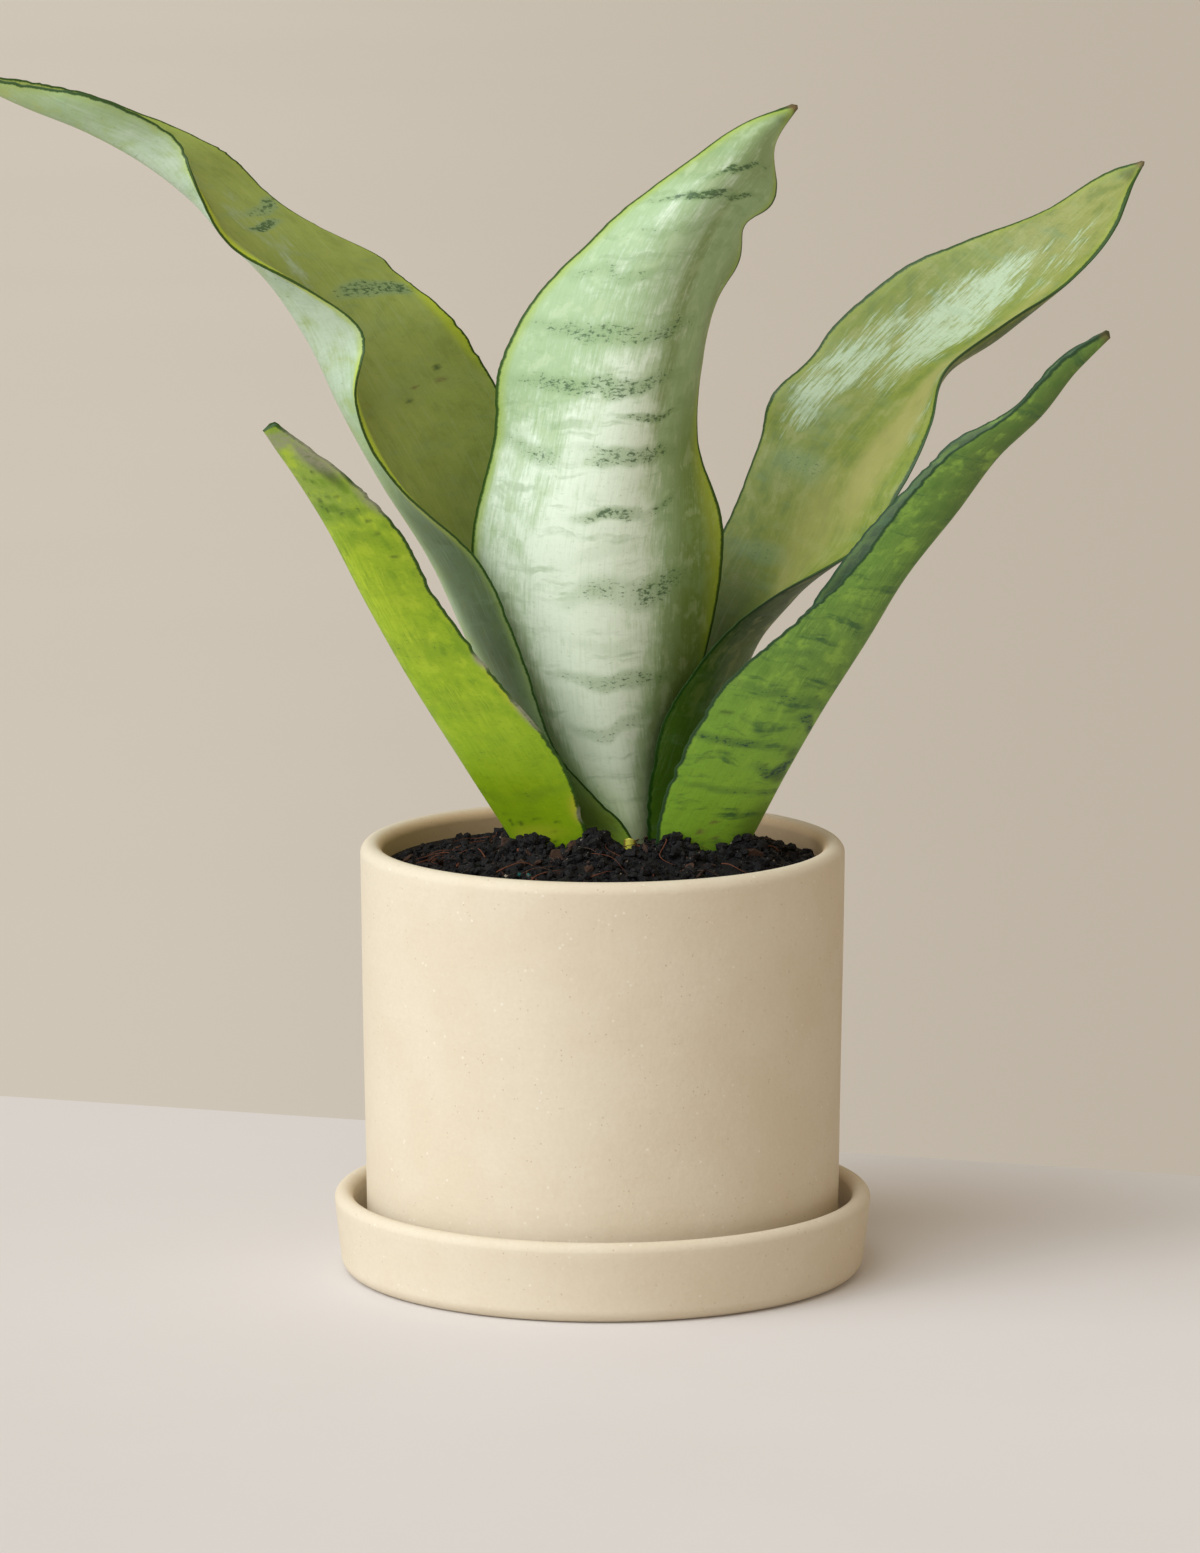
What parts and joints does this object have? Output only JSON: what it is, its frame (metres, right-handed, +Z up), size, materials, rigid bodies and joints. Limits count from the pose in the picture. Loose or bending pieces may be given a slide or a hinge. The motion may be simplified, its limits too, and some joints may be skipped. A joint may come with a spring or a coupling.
{
  "type": "potted snake plant",
  "caption": "Snake plant with broad arching leaves, rooted in dark soil in a round matte ceramic pot that stands on a matching saucer.",
  "frame": {"origin": "on the axis of the pot and the saucer, in the plane of the saucer's underside", "axes": "+Z up, from the saucer to the leaf tips; +X to the right, towards the two right leaves; +Y to the back, so the front leaves are on the -Y side"},
  "size_m": [0.318, 0.1446, 0.322],
  "materials": {
    "ceramic": "matte",
    "soil": "matte",
    "rhizome": "satin",
    "sheath": "satin",
    "leaf_silver": "satin",
    "leaf_olive": "satin",
    "leaf_pale": "satin",
    "leaf_bright": "satin",
    "leaf_deep": "satin"
  },
  "bodies": {
    "root": {"saucer": "ceramic", "pot": "ceramic", "soil": "soil", "rhizome": "rhizome", "sheath_stub": "sheath", "leaf_centre": "leaf_silver", "leaf_left": "leaf_olive", "leaf_right": "leaf_pale", "leaf_front_left": "leaf_bright", "leaf_front_right": "leaf_deep"}
  },
  "joints": []
}
